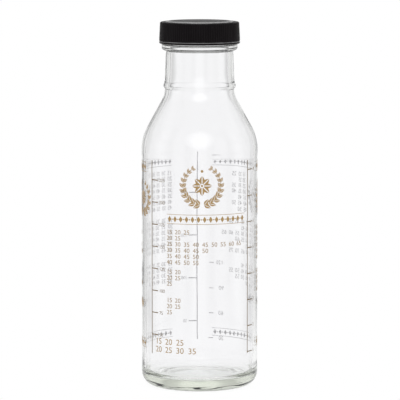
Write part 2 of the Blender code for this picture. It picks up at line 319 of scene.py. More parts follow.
# %% Mottle group
MOTTLE_EDGES = (0.3, 0.7)

mottle, given = new_tree("mottle", "Shader", {
    "Scale": 200.0, "Fineness": 12.0, "Low": 0.0, "High": 1.0})
spot = place(mottle, "ShaderNodeTexCoord")["Object"]
coarse = place(mottle, "ShaderNodeTexNoise", {"Vector": spot, "Scale": given["Scale"], "Detail": 3.0})[0]
fine = place(mottle, "ShaderNodeTexNoise", {
    "Vector": spot, "Scale": given["Scale"] * given["Fineness"], "Detail": 2.0})[0]
mask = ramp(coarse, *MOTTLE_EDGES)
give(mottle, "Float", Mask=mask, Value=numbers_mix(mask, given["Low"], given["High"]), Height=fine)


# %% Material helpers
def new_look(name, plain):
    """A material with one Principled shader, whose plain sockets are given by name."""
    look = bpy.data.materials.new(name)
    look.use_nodes = True
    shader = look.node_tree.nodes["Principled BSDF"]
    fill(shader, plain)
    return look, look.node_tree, shader


def mottled(tree, scale, fineness, low, high):
    """The mottle group with its own scale and range."""
    return use(tree, mottle, {"Scale": scale, "Fineness": fineness, "Low": low, "High": high})


def stored_value(tree, name):
    """A number that is stored on the points of the mesh."""
    return place(tree, "ShaderNodeAttribute", attribute_name=name)["Fac"]


def bumped(height, depth):
    """A normal that follows a height; depth is that of the relief, in metres."""
    return place(height.tree, "ShaderNodeBump", {"Height": height, "Distance": depth, "Strength": 1.0})[0]


# %% [markdown]
# ## Clear glass
# Container glass is colourless in a thin wall and faintly green where the light travels far through
# it, at the rim and in the foot. So the surface shader is plain clear glass, and the tint is a
# volume that takes a little red and blue out over each centimetre. For rays from lamps the shader
# is see-through, because a renderer without caustics would otherwise put the print and the floor
# behind the glass in the dark. A film of handling varies the gloss a little, and the foot is matt.

# %% Glass
GLASS_IOR = 1.52
GLASS_TINT = (0.978, 0.976, 0.988, 1)
GLASS_SHADOW = (0.93, 0.94, 0.93, 1)
GLASS_VOLUME_COLOUR = (0.88, 0.90, 0.84, 1)
GLASS_VOLUME_DENSITY = 42.0
STIPPLE_ROUGHNESS = 0.35
FILM_ROUGHNESS = 0.035
FILM_DEPTH = 0.000002

clear_glass, tree, shader = new_look("clear_glass", {
    "Base Color": GLASS_TINT, "IOR": GLASS_IOR, "Transmission Weight": 1.0, "Roughness": 0.0})
stipple = stored_value(tree, "matt") * STIPPLE_ROUGHNESS
film = mottled(tree, 70.0, 5.0, stipple, stipple + FILM_ROUGHNESS)
fill(shader, {"Roughness": film["Value"], "Normal": bumped(film["Height"], FILM_DEPTH)})
lamp_ray = place(tree, "ShaderNodeLightPath")["Is Shadow Ray"]
clear = place(tree, "ShaderNodeBsdfTransparent", {"Color": GLASS_SHADOW})[0]
surface = place(tree, "ShaderNodeMixShader", {0: lamp_ray, 1: Outputs(shader)[0], 2: clear})[0]
inside = place(tree, "ShaderNodeVolumeAbsorption", {
    "Color": GLASS_VOLUME_COLOUR, "Density": GLASS_VOLUME_DENSITY})[0]
fill(tree.nodes["Material Output"], {"Surface": surface, "Volume": inside})
print("Glass: IOR", GLASS_IOR)

# %% [markdown]
# ## Plastic, foam and enamel
# The cap is black polypropylene: satin on the skirt, duller on the disc, with a fine mould texture,
# and a little greyer on the crests of its ribs, where hands and boxes rub it. On the slope round the
# disc and on the bead at its foot, a lighter grey is painted on as a highlight. These two places also
# have a thin polish, which is the coat of the shader. The lathe further down stores how rubbed and
# how matt each point is and where the highlight is painted, and the material reads these attributes.
# The liner is white foam with closed cells. The enamel is tan, its finest lines are printed denser
# and look darker, and from behind, through the bottle, it is a pale grey, because there the eye
# sees the side that was fused to the glass.

# %% Black plastic
PLASTIC_BLACK = (0.0075, 0.0060, 0.0068, 1)
# A lighter grey: wear on the rib crests, and a painted highlight on the disc slope and the foot bead
PLASTIC_WEAR_AND_HIGHLIGHT = (0.320, 0.320, 0.326, 1)
SATIN_ROUGHNESS = (0.20, 0.26)
MATT_ROUGHNESS = 0.35
POLISH_EDGES = (0.7, 1.0)
GRAIN_DEPTH = 0.00002
RIB_WEAR = 0.010

black_plastic, tree, shader = new_look("black_plastic", {
    "Base Color": (0.008, 0.0065, 0.0075, 1), "Roughness": 0.3, "Specular IOR Level": 0.04,
    "Coat Roughness": 0.38})
matt = stored_value(tree, "matt")
duller = matt * MATT_ROUGHNESS
grain = mottled(tree, 260.0, 14.0, *(duller + satin for satin in SATIN_ROUGHNESS))
# Wear on the rib crests, and a painted highlight on the disc slope and the foot bead
wear_and_highlight = stored_value(tree, "crest") * (grain["Mask"] * 0.5 + 0.5)
fill(shader, {
    "Base Color": colours_mix(wear_and_highlight, PLASTIC_BLACK, PLASTIC_WEAR_AND_HIGHLIGHT), "Roughness": grain["Value"],
    "Coat Weight": ramp(matt, *POLISH_EDGES), "Normal": bumped(grain["Height"], GRAIN_DEPTH)})
print("Worn plastic:", PLASTIC_WEAR_AND_HIGHLIGHT[:3])

# %% Liner foam
FOAM_SHADE = (0.80, 0.80, 0.77, 1)
FOAM_WHITE = (0.86, 0.86, 0.84, 1)
CELL_SCALE = 2600.0
CELL_DEPTH = 0.00004

liner_foam, tree, shader = new_look("liner_foam", {"Base Color": (0.82, 0.82, 0.80, 1), "Roughness": 0.75})
spot = place(tree, "ShaderNodeTexCoord")["Object"]
cells = place(tree, "ShaderNodeTexVoronoi", {"Vector": spot, "Scale": CELL_SCALE})["Distance"]
cloud = mottled(tree, 120.0, 8.0, 0.68, 0.82)
fill(shader, {
    "Base Color": colours_mix(cloud["Mask"], FOAM_SHADE, FOAM_WHITE), "Roughness": cloud["Value"],
    "Normal": bumped(cells, CELL_DEPTH)})
print("Foam cells per metre:", CELL_SCALE)

# %% Enamel
ENAMEL_TAN = (0.420, 0.268, 0.104, 1)
ENAMEL_DEEP = (0.370, 0.236, 0.094, 1)
ENAMEL_STROKE = (0.190, 0.128, 0.062, 1)
ENAMEL_BACK = (0.720, 0.705, 0.730, 1)
PIT_DEPTH = 0.00001

fired_print, tree, shader = new_look("fired_print", {"Base Color": ENAMEL_TAN, "Roughness": 0.4})
pits = mottled(tree, 900.0, 5.0, 0.34, 0.5)
solid_tone = colours_mix(pits["Mask"], ENAMEL_TAN, ENAMEL_DEEP)
front = colours_mix(stored_value(tree, "stroke"), solid_tone, ENAMEL_STROKE)
coords = place(tree, "ShaderNodeTexCoord")
flat = place(tree, "ShaderNodeVectorMath", {0: coords["Object"], 1: (1, 1, 0)}, operation="MULTIPLY")[0]
facing = place(tree, "ShaderNodeVectorMath", {0: flat, 1: coords["Normal"]}, operation="DOT_PRODUCT")
inner = maths("LESS_THAN", facing["Value"], 0.0)
fill(shader, {
    "Base Color": colours_mix(inner, front, ENAMEL_BACK), "Roughness": pits["Value"],
    "Normal": bumped(pits["Height"], PIT_DEPTH)})
print("Materials:", [look.name for look in (clear_glass, black_plastic, liner_foam, fired_print)])


# %% [markdown]
# ## One lathe for bottle, cap and liner
# The bottle, the cap and the liner are all turned round one axis, so one Geometry Nodes tree makes
# all three. It takes a half section, a row of points from the axis out and back, and sweeps it
# round. The Screw modifier would do that too, but here each point of the sweep knows its own angle
# and height, so the same tree can raise grip ribs, a screw thread, mould seams and the small waves
# of blown glass exactly where the section asks for them. The section carries these wishes as
# attributes: ridge_out, ridge_up, thread, wave, wave_up, seam, matt and worn, the last
# of which is a highlight painted on the cap as a lighter colour.


# %% Helpers for shapes
def grid(tree, width, height, columns, rows=2):
    """A flat sheet of faces; columns and rows count its points."""
    return place(tree, "GeometryNodeMeshGrid", {
        "Size X": width, "Size Y": height, "Vertices X": columns, "Vertices Y": rows})["Mesh"]


def reshaped(shape, points):
    """A shape whose points have moved to new places."""
    return place(shape.tree, "GeometryNodeSetPosition", {"Geometry": shape, "Position": points})[0]


def transformed(shape, **change):
    """A shape with a Translation, a Rotation or a Scale."""
    return place(shape.tree, "GeometryNodeTransform", {"Geometry": shape, **change})[0]


def flipped(shape):
    """A shape whose faces look the other way."""
    return place(shape.tree, "GeometryNodeFlipFaces", {0: shape})[0]


def welded(shape, distance):
    """A shape whose points are merged where they are closer than a distance."""
    return place(shape.tree, "GeometryNodeMergeByDistance", {"Geometry": shape, "Distance": distance})[0]


def stored(shape, name, value):
    """A shape with a number stored on each point, for the material to read."""
    return place(shape.tree, "GeometryNodeStoreNamedAttribute", {
        "Geometry": shape, "Name": name, "Value": value}, data_type="FLOAT", domain="POINT")[0]


def realised(shape):
    """A shape whose copies have become faces of its own."""
    return place(shape.tree, "GeometryNodeRealizeInstances", {0: shape})[0]


def give_shape(shape):
    """Ends the tree of a shape."""
    give(shape.tree, "Geometry", Geometry=shape)


def give_finished(shape, finish):
    """Ends the tree of a piece: its shape becomes real and gets its material."""
    inputs = {"Geometry": realised(shape), "Material": finish}
    give_shape(place(shape.tree, "GeometryNodeSetMaterial", inputs)[0])


# %% Lathe tree: angle, radius and height of every point
TURN = math.tau
WISHES = ("ridge_out", "ridge_up", "thread", "wave", "wave_up", "seam", "matt", "worn")

lathe, given = new_tree("lathe", "Geometry", {
    "Section": "Geometry", "Steps": 64, "Ridge Count": 100, "Ridge Depth": 0.0, "Thread Pitch": 0.004,
    "Thread Rise": 0.0, "Thread Half Width": 0.001, "Thread Level": 0.0, "Thread Low": 0.0,
    "Thread High": 1.0, "Wave Depth": 0.0, "Wave Scale": 60.0, "Seam Angle": 0.0, "Seam Rise": 0.0,
    "Seam Half Width": 0.0003, "Crowding": 0.0, "Seed": 0.0, "Finish": "Material"})

count = place(lathe, "GeometryNodeAttributeDomainSize", {0: given["Section"]})["Point Count"]
columns = given["Steps"] + 1.0
index = place(lathe, "GeometryNodeInputIndex")[0]
row = maths("FLOOR", (index + 0.5) / columns)
column = index - row * columns
turned = column / given["Steps"] * TURN
squeeze = maths("SINE", turned * 2.0) * -0.5
angle = squeeze * given["Crowding"] + turned + given["Seam Angle"]
cosine = maths("COSINE", angle)
sine = maths("SINE", angle)


def sampled(value, kind):
    """A value of the section, read at the row of this point."""
    inputs = {0: given["Section"], 1: value, "Index": row}
    return place(lathe, "GeometryNodeSampleIndex", inputs, data_type=kind)[0]


here = place(lathe, "GeometryNodeInputPosition")[0]
section_point = place(lathe, "ShaderNodeSeparateXYZ", {0: sampled(here, "FLOAT_VECTOR")})
radius, height = section_point["X"], section_point["Z"]
wish = {}
for label in WISHES:
    named = place(lathe, "GeometryNodeInputNamedAttribute", {"Name": label}, data_type="FLOAT")[0]
    wish[label] = sampled(named, "FLOAT")
print("Lathe wishes:", list(wish))

# %% Lathe tree: ridges and thread
RIDGE_EDGES = (-0.55, 0.55)
THREAD_FLANK = (1.0, 0.15)
THREAD_RUN_OUT = (-0.0001, 0.0005)

ridge = ramp(maths("COSINE", angle * given["Ridge Count"]), *RIDGE_EDGES)
ridge_height = ridge * given["Ridge Depth"]
ridge_out = ridge_height * wish["ridge_out"]
ridge_up = ridge_height * wish["ridge_up"]

turns = (height - given["Thread Level"]) / given["Thread Pitch"] - angle / TURN
off_crest = (turns - maths("ROUND", turns)) * given["Thread Pitch"]
slope = ramp(maths("ABSOLUTE", off_crest) / given["Thread Half Width"], *THREAD_FLANK)
crest_z = height - off_crest
from_end = maths("MINIMUM", crest_z - given["Thread Low"], given["Thread High"] - crest_z)
thread = slope * ramp(from_end, *THREAD_RUN_OUT) * given["Thread Rise"] * wish["thread"]
print("Ridges and thread added")

# %% Lathe tree: waves, seams and the finished surface
WELD = 0.0000005

on_wall = vector(lathe, cosine * radius, sine * radius, height)
noise = place(lathe, "ShaderNodeTexNoise", {
    "Vector": on_wall, "W": given["Seed"], "Scale": given["Wave Scale"], "Detail": 1.0},
    noise_dimensions="4D")[0]
swollen = (noise - 0.5) * 2.0 * given["Wave Depth"]
wave = swollen * wish["wave"]
lift = swollen * wish["wave_up"] + ridge_up

seam_distance = maths("ABSOLUTE", maths("SINE", angle - given["Seam Angle"])) * radius
seam_shape = ramp(seam_distance / given["Seam Half Width"], 1.0, 0.0)
seam = seam_shape * given["Seam Rise"] * wish["seam"]

reach = radius + ridge_out + thread + wave + seam
sheet = grid(lathe, 1.0, 1.0, count, columns)
shaped = reshaped(sheet, vector(lathe, cosine * reach, sine * reach, height + lift))
# Rib crests get a little wear; the worn wish adds a painted highlight colour
crest = ridge * ((wish["ridge_out"] + wish["ridge_up"]) * RIB_WEAR) + wish["worn"]
closed = welded(stored(stored(shaped, "crest", crest), "matt", wish["matt"]), WELD)
give_finished(place(lathe, "GeometryNodeSetShadeSmooth", {0: closed})[0], given["Finish"])

# %% [markdown]
# ## From a tree to a plain mesh
# A tree is grown on a temporary object. Its inputs are set by the socket's identifier, the result
# is read from the evaluated object, and the temporary object goes away. What stays is a plain mesh
# whose place is in its points, so the finished object sits at the origin.


# %% Growing a tree
def grown(name, tree, values, source=None):
    """The mesh that a geometry tree makes with the given input values."""
    mesh = source or bpy.data.meshes.new(name)
    thing = bpy.data.objects.new(name, mesh)
    bpy.context.scene.collection.objects.link(thing)
    modifier = thing.modifiers.new("grow", "NODES")
    modifier.node_group = tree
    for item in tree.interface.items_tree:
        if item.in_out == "INPUT" and item.name in values:
            modifier[item.identifier] = values[item.name]
    graph = bpy.context.evaluated_depsgraph_get()
    made = bpy.data.meshes.new_from_object(thing.evaluated_get(graph))
    bpy.data.objects.remove(thing)
    bpy.data.meshes.remove(mesh)
    return made


def add_piece(name, mesh, body, slot, *nodes):
    """A finished piece that rides on a body and stands for CAD nodes; its slot is not used."""
    mesh.name = name
    piece = bpy.data.objects.new(name, mesh)
    bpy.context.scene.collection.objects.link(piece)
    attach(piece, body)
    if nodes:
        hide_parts(*nodes)
    print(name, "has", sum(len(face.vertices) - 2 for face in mesh.polygons), "triangles")
    return piece


# %% Drawing a section
SAME_POINT = 0.00001


def arc(centre, radius, start, end, steps):
    """Points (r, z) on a circular arc; angles in degrees from the outward direction."""
    turns = [math.radians(start + (end - start) * step / steps) for step in range(steps + 1)]
    return [(centre[0] + radius * math.cos(a), centre[1] + radius * math.sin(a)) for a in turns]


def line(start, end, steps):
    """Points from start to end, both included."""
    shares = [step / steps for step in range(steps + 1)]
    return [(start[0] + (end[0] - start[0]) * s, start[1] + (end[1] - start[1]) * s) for s in shares]


def eased(start, end, steps):
    """Points from start to end in height, whose radius changes in a soft S."""
    points = line(start, end, steps)
    soft = [(1 - math.cos(math.pi * step / steps)) / 2 for step in range(steps + 1)]
    return [(start[0] + (end[0] - start[0]) * s, z) for s, (_, z) in zip(soft, points)]


def dome(radius, edge_z, rise, steps):
    """Points on a low dome, from the axis to its edge."""
    shares = [step / steps for step in range(steps)]
    return [(radius * s, edge_z + rise * math.cos(math.pi * s / 2)) for s in shares]


def traced(start, *legs):
    """Points through several legs. Each leg has its kind, its end and a number of steps."""
    points = []
    for kind, end, steps in legs:
        points += kind(start, end, steps)
        start = end
    return points


def section_mesh(rows):
    """A half section as a mesh. Each row is a list of points and the wishes for them."""
    points, wishes = [], {label: [] for label in WISHES}
    for part, asked in rows:
        for point in part:
            if points and math.dist(point, points[-1]) < SAME_POINT:
                continue
            points.append(point)
            for label in WISHES:
                wishes[label].append(asked.get(label, 0.0))
    mesh = bpy.data.meshes.new("section")
    mesh.from_pydata([(r, 0, z) for r, z in points], [(i, i + 1) for i in range(len(points) - 1)], [])
    for label, values in wishes.items():
        mesh.attributes.new(label, "FLOAT", "POINT").data.foreach_set("value", values)
    return mesh


# %% [markdown]
# ## The bottle
# The bottle was blown in a mould: the outside is as exact as the mould, and the inside is not,
# because nothing but air shaped it. So the outer wall follows the solid's sizes in fine steps and
# only the inner wall gets waves. The glass is thicker in the neck, where the air did not stretch it,
# and a plug pressed the mouth, so the bore steps in just under the thread. The neck carries a screw
# thread of one turn, a bead under it and a ring lower down. Two fine seams mark where the halves of
# the mould met, and the foot ring has small notches, which keep the hot bottle from sticking.

# %% Sizes of the bottle
BODY_RADIUS = 0.0290
PANEL_RADIUS = 0.02885
GLASS_WALL = 0.0021
RIM_Z = 0.17976
MOUTH_RADIUS = 0.0149
MOUTH_EASE = 0.0040
FINISH_RADIUS = 0.0174
FINISH_FILLET = 0.0002
NECK_RADIUS = 0.0173
NECK_TAPER = 0.0005
RIM_ROUND = 0.0008
BEAD_RADIUS_OUT = 0.0189
BEAD_TOP = 0.17165
BEAD_LOW = 0.16835
BEAD_UPPER_ROUND = 0.0005
BEAD_LOWER_ROUND = 0.0011
BEAD_EASE = 0.0007
NECK_INSIDE = 0.0143
NECK_EASE = 0.0070
BORE_RADIUS = 0.0144
BORE_STEP = (0.1704, 0.1714)
BORE_EASE = (0.0045, 0.0003)
RING_Z = 0.15036
RING_RISE = 0.00075
RING_SLOPE = 0.0034
NECK_START_ANGLE = 2.0
SHOULDER_TOP_Z = 0.14929
SHOULDER_ANGLE = 28.7
SHOULDER_ROUND = 0.0253
NECK_ROUND = 0.0124
HEEL_ROUND = 0.0070
HEEL_END_ANGLE = -84
FOOT_RING_WIDTH = 0.0026
FOOT_RING_EDGES = (0.0001, 0.0003)
PUSH_UP_HEIGHT = 0.0042
PUSH_UP_EDGE = 0.0018
PUSH_UP_RADIUS = 0.0152
FLOOR_Z = 0.0066
FLOOR_DROP = 0.0006
INNER_HEEL_ROUND = 0.0038
UPPER_BAND = (0.11500, 0.11820)
LOWER_BAND = (0.00900, 0.01280)

turn = math.radians(SHOULDER_ANGLE)
cone_run = BODY_RADIUS - NECK_RADIUS - (NECK_ROUND + SHOULDER_ROUND) * (1 - math.cos(turn))
cone_rise = (NECK_ROUND + SHOULDER_ROUND) * math.sin(turn) + cone_run / math.tan(turn)
SHOULDER_FOOT_Z = SHOULDER_TOP_Z - cone_rise
print("Shoulder from", round(SHOULDER_FOOT_Z, 5), "to", SHOULDER_TOP_Z)


# %% Inside and rim of the bottle
def shoulder(inset):
    """Points down the shoulder, moved inward by inset: neck round, cone and body round."""
    neck_centre = (NECK_RADIUS + NECK_ROUND, SHOULDER_TOP_Z)
    body_centre = (BODY_RADIUS - SHOULDER_ROUND, SHOULDER_FOOT_Z)
    upper = arc(neck_centre, NECK_ROUND + inset, 180 + NECK_START_ANGLE, 180 + SHOULDER_ANGLE, 10)
    lower = arc(body_centre, SHOULDER_ROUND - inset, SHOULDER_ANGLE, 0, 16)
    return upper + line(upper[-1], lower[0], 6)[1:-1] + lower


inner = BODY_RADIUS - GLASS_WALL
inner_heel = (inner - INNER_HEEL_ROUND, FLOOR_Z - FLOOR_DROP + INNER_HEEL_ROUND)
neck_foot = (NECK_INSIDE, RING_Z + NECK_EASE)
bore_start, bore_end = (BORE_STEP[0] - ease for ease in BORE_EASE)

inner_floor = dome(inner_heel[0], FLOOR_Z - FLOOR_DROP, FLOOR_DROP, 12)
inside = arc(inner_heel, INNER_HEEL_ROUND, -90, 0, 14)
inside += line((inner, inner_heel[1]), (inner, SHOULDER_FOOT_Z), 24)
inside += reversed(shoulder(GLASS_WALL))
inside += traced(
    inside[-1], (eased, neck_foot, 12), (line, (NECK_INSIDE, bore_start), 8),
    (eased, (MOUTH_RADIUS, bore_end), 8))
inside += eased((MOUTH_RADIUS, BORE_STEP[0]), (BORE_RADIUS, BORE_STEP[1]), 10)
rim = traced(
    (BORE_RADIUS, BORE_STEP[1]), (line, (BORE_RADIUS, RIM_Z - MOUTH_EASE), 3),
    (eased, (MOUTH_RADIUS, RIM_Z - RIM_ROUND), 6))
rim += arc((MOUTH_RADIUS + RIM_ROUND, RIM_Z - RIM_ROUND), RIM_ROUND, 180, 90, 7)
rim += arc((FINISH_RADIUS - RIM_ROUND, RIM_Z - RIM_ROUND), RIM_ROUND, 90, 0, 7)
print("Points inside and on the rim:", len(inner_floor + inside + rim))

# %% Outside and foot of the bottle
heel_centre = (BODY_RADIUS - HEEL_ROUND, HEEL_ROUND)
foot_inner = BODY_RADIUS - HEEL_ROUND - FOOT_RING_WIDTH
neck_top = (NECK_RADIUS - NECK_TAPER, BEAD_LOW - BEAD_EASE)
ring_top = (NECK_RADIUS, RING_Z + RING_SLOPE)
ring_crest = (NECK_RADIUS + RING_RISE, RING_Z)

finish = line((FINISH_RADIUS, RIM_Z - RIM_ROUND), (FINISH_RADIUS, BEAD_TOP + FINISH_FILLET), 30)
bead = [(FINISH_RADIUS + FINISH_FILLET, BEAD_TOP)]
bead += arc((BEAD_RADIUS_OUT - BEAD_UPPER_ROUND, BEAD_TOP - BEAD_UPPER_ROUND), BEAD_UPPER_ROUND, 90, 0, 7)
bead += arc((BEAD_RADIUS_OUT - BEAD_LOWER_ROUND, BEAD_LOW + BEAD_LOWER_ROUND), BEAD_LOWER_ROUND, 0, -75, 12)
outside = traced(
    bead[-1], (eased, neck_top, 6), (line, ring_top, 8), (eased, ring_crest, 9),
    (eased, shoulder(0)[0], 12))
outside += shoulder(0)
outside += traced(
    (BODY_RADIUS, UPPER_BAND[1]), (eased, (PANEL_RADIUS, UPPER_BAND[0]), 6),
    (line, (PANEL_RADIUS, LOWER_BAND[1]), 8), (eased, (BODY_RADIUS, LOWER_BAND[0]), 6))
outside += arc(heel_centre, HEEL_ROUND, 0, HEEL_END_ANGLE, 16)
foot = arc(heel_centre, HEEL_ROUND, HEEL_END_ANGLE, -90, 2)
foot += line((BODY_RADIUS - HEEL_ROUND - FOOT_RING_EDGES[0], 0), (foot_inner + FOOT_RING_EDGES[1], 0), 6)
push_up = [(r, z) for z, r in eased((0, foot_inner), (PUSH_UP_EDGE, PUSH_UP_RADIUS), 9)]
push_up += list(reversed(dome(PUSH_UP_RADIUS, PUSH_UP_EDGE, PUSH_UP_HEIGHT - PUSH_UP_EDGE, 10)))

bottle_rows = [
    (inner_floor, {"wave_up": 6.0}), (inside, {"wave": 1.0}), (rim, {}), (finish, {"thread": 1.0}),
    (bead, {}), (outside, {"seam": 1.0}), (foot[:4], {}), (foot[4:8], {"ridge_up": 1.0, "matt": 1.0}),
    (foot[8:] + [(foot_inner, 0.0)] + push_up, {"matt": 1.0})]
print("Section points:", sum(len(part) for part, _ in bottle_rows))

# %% Turn the bottle
THREAD_PITCH = 0.004233
THREAD_LEVEL = 0.17741
BOTTLE_VALUES = {
    "Steps": 300, "Ridge Count": 60, "Ridge Depth": 0.00014, "Thread Pitch": THREAD_PITCH,
    "Thread Rise": 0.0011, "Thread Half Width": 0.0011, "Thread Level": THREAD_LEVEL,
    "Thread Low": 0.1730, "Thread High": THREAD_LEVEL, "Wave Depth": 0.00012, "Wave Scale": 90.0,
    "Seam Angle": math.radians(-165), "Seam Rise": 0.00006, "Seam Half Width": 0.0004,
    "Crowding": 0.5, "Seed": 3.0, "Finish": clear_glass}

mesh = grown("bottle", lathe, BOTTLE_VALUES, section_mesh(bottle_rows))
add_piece("blown_bottle", mesh, "bottle", "clear_glass", "glass_bottle")

# %% [markdown]
# ## The cap
# The cap is moulded in one piece. It has a smooth raised disc in the middle, and around that the
# grip ribs run down the skirt to a plain bead at its foot, whose upper edge has a painted highlight,
# a thin light grey line. They also run over the shoulder as far as the disc. The disc's edge is a
# short slope with a lighter grey painted on as a highlight; it is brightest in front, where it tips
# the light from behind down to the eye. Inside there is about one turn of thread, and a thin ring
# that holds the liner. The same lathe makes all this: the ribs are wished outwards on the skirt,
# upwards on the ledge, and in between along the round that joins them.

# %% Sizes of the cap
CAP_TOP_Z = 0.18276
CAP_SHOULDER_Z = 0.18226
CAP_CEILING_Z = 0.18136
CAP_FOOT_Z = 0.17152
CAP_BORE = 0.01895
SKIRT_TOP = 0.01945
SKIRT_FOOT = 0.01985
SKIRT_END = 0.0005
BEAD_RADIUS = 0.02012
BEAD_TOP_Z = 0.17275
BEAD_ROUND = 0.0006
# Painted highlight: a light grey line on the upper edge of the foot bead
BEAD_PAINTED_HIGHLIGHT = 0.9
FOOT_ROUND = 0.0005
LIP_ROUND = 0.0003
DISC_RADIUS = 0.0170
DISC_MATT = 0.65
DISC_EDGE = 0.0006
DISC_EDGE_DROP = 0.00003
DISC_SLOPE = 0.0014
# Painted highlight: a lighter grey on the slope round the disc
DISC_PAINTED_HIGHLIGHT = 0.15
CORNER = 0.0004
LEDGE_DROP = 0.0002
LEDGE_RIBS = 0.8
RIB_COUNT = 104
RIB_DEPTH = 0.00026
RIB_STEPS = 6
RIB_RUN_OUT = ((0.0, 0.0003, 0.9), (0.00002, 0.00015, 0.6))
THREAD_START = 0.0004
KEEPER_Z = (0.17925, 0.17945, 0.17980, 0.18000, 0.18005)
KEEPER_RISE = 0.0005
CEILING_EASE = 0.0002
SHARP_ANGLE = math.radians(40)

# %% Section of the cap
corner_centre = (SKIRT_TOP - CORNER, CAP_SHOULDER_Z - LEDGE_DROP - CORNER)
bead_centre = (BEAD_RADIUS - BEAD_ROUND, BEAD_TOP_Z - BEAD_ROUND)
ledge_end = (SKIRT_TOP - CORNER, CAP_SHOULDER_Z - LEDGE_DROP)

disc = line((0, CAP_TOP_Z), (DISC_RADIUS - DISC_SLOPE - DISC_EDGE, CAP_TOP_Z), 6)
slope = line((DISC_RADIUS - DISC_SLOPE, CAP_TOP_Z - DISC_EDGE_DROP), (DISC_RADIUS, CAP_SHOULDER_Z), 6)
ledge = line((DISC_RADIUS + DISC_EDGE, CAP_SHOULDER_Z), ledge_end, 6)
cap_rows = [
    (disc, {"matt": DISC_MATT}), (slope, {"matt": 1.0, "worn": DISC_PAINTED_HIGHLIGHT}),
    (ledge, {"ridge_up": LEDGE_RIBS})]
for lean in (75, 60, 45, 30, 15):
    up, out = math.sin(math.radians(lean)), math.cos(math.radians(lean))
    spot = arc(corner_centre, CORNER, lean, lean, 1)[:1]
    cap_rows.append((spot, {"ridge_up": LEDGE_RIBS * up, "ridge_out": out}))
skirt = line((SKIRT_TOP, corner_centre[1]), (SKIRT_FOOT, BEAD_TOP_Z + SKIRT_END), 14)
cap_rows.append((skirt, {"ridge_out": 1.0}))
for out, up, share in RIB_RUN_OUT:
    cap_rows.append(([(SKIRT_FOOT + out, BEAD_TOP_Z + up)], {"ridge_out": share}))
# The upper edge of the bead gets a painted highlight, a thin light grey line
cap_rows.append((arc(bead_centre, BEAD_ROUND, 70, 35, 3), {"worn": BEAD_PAINTED_HIGHLIGHT, "matt": 1.0}))
plain = arc(bead_centre, BEAD_ROUND, 30, 0, 3)
plain += arc((BEAD_RADIUS - FOOT_ROUND, CAP_FOOT_Z + FOOT_ROUND), FOOT_ROUND, -10, -90, 6)
plain += arc((CAP_BORE + LIP_ROUND, CAP_FOOT_Z + LIP_ROUND), LIP_ROUND, -90, -180, 4)
cap_rows.append((plain, {}))
threaded = line((CAP_BORE, CAP_FOOT_Z + THREAD_START), (CAP_BORE, KEEPER_Z[0]), 34)
cap_rows.append((threaded, {"thread": -1.0}))
keeper = traced(
    (CAP_BORE, KEEPER_Z[1]), (eased, (CAP_BORE - KEEPER_RISE, KEEPER_Z[2]), 4),
    (eased, (CAP_BORE, KEEPER_Z[3]), 4))
keeper += line((CAP_BORE, KEEPER_Z[4]), (CAP_BORE, CAP_CEILING_Z - CEILING_EASE), 3)
keeper += line((CAP_BORE - CEILING_EASE, CAP_CEILING_Z), (0, CAP_CEILING_Z), 6)
cap_rows.append((keeper, {}))
print("Section points:", sum(len(part) for part, _ in cap_rows))

# %% Turn the cap
CAP_VALUES = {
    "Steps": RIB_COUNT * RIB_STEPS, "Ridge Count": RIB_COUNT, "Ridge Depth": RIB_DEPTH,
    "Thread Pitch": THREAD_PITCH, "Thread Rise": 0.00105, "Thread Half Width": 0.00105,
    "Thread Level": THREAD_LEVEL - THREAD_PITCH / 2, "Thread Low": 0.1733, "Thread High": 0.17766,
    "Finish": black_plastic}

mesh = grown("cap", lathe, CAP_VALUES, section_mesh(cap_rows))
cap = add_piece("ribbed_cap", mesh, "cap", "black_plastic", "screw_cap")
cap.data.set_sharp_from_angle(angle=SHARP_ANGLE)

# %% [markdown]
# ## The liner
# A disc of white foam, pressed into the cap. Its underside is embossed with fine rings, so that it
# bites on the rim. It is hidden while the cap is on, and seen from below when the cap is lifted.

# %% Section of the liner
LINER_LOW = 0.18006
LINER_HIGH = 0.18106
LINER_RADIUS = 0.01860
LINER_ROUND = 0.0002
EMBOSS_RINGS = 12
EMBOSS_STEPS = EMBOSS_RINGS * 4
EMBOSS_EDGE = 0.0004
EMBOSS_DEPTH = 0.00008

edge = LINER_RADIUS - LINER_ROUND
liner_section = line((0, LINER_HIGH), (edge, LINER_HIGH), 6)
liner_section += arc((edge, LINER_HIGH - LINER_ROUND), LINER_ROUND, 80, 0, 3)
liner_section += arc((edge, LINER_LOW + LINER_ROUND), LINER_ROUND, 0, -90, 3)
for step in range(EMBOSS_STEPS):
    share = 1 - (step + 1) / EMBOSS_STEPS
    lift = (1 - math.cos(math.tau * EMBOSS_RINGS * share)) / 2
    liner_section.append(((LINER_RADIUS - EMBOSS_EDGE) * share, LINER_LOW + EMBOSS_DEPTH * lift))

mesh = grown("liner", lathe, {"Steps": 96, "Finish": liner_foam}, section_mesh([(liner_section, {})]))
add_piece("foam_liner", mesh, "liner", "liner_foam", "cap_liner")

# %% [markdown]
# ## How the print gets onto the glass
# Enamel is printed through a screen while the bottle rolls under it, so the artwork is flat and
# wraps round the body. The trees below do the same: each draws its shapes flat, with x along the
# girth and y up the bottle, and passes them to one group that bends them round the axis and gives
# them the thickness of the enamel. The layer floats a few hundredths of a millimetre off the glass,
# because two surfaces in one place would flicker.


# %% Helpers for flat shapes
def joined(*shapes):
    """Several shapes as one."""
    node = shapes[0].tree.nodes.new("GeometryNodeJoinGeometry")
    for shape in shapes:
        fill(node, {0: shape})
    return Outputs(node)[0]


def bar(tree, width, height, x, y, columns=2):
    """A flat upright rectangle whose middle is at x, y."""
    return transformed(grid(tree, width, height, columns), Translation=vector(tree, x, y))


def points_row(tree, count, start, spacing):
    """A row of evenly spaced points."""
    return place(tree, "GeometryNodeMeshLine", {
        "Count": count, "Start Location": start, "Offset": spacing})[0]


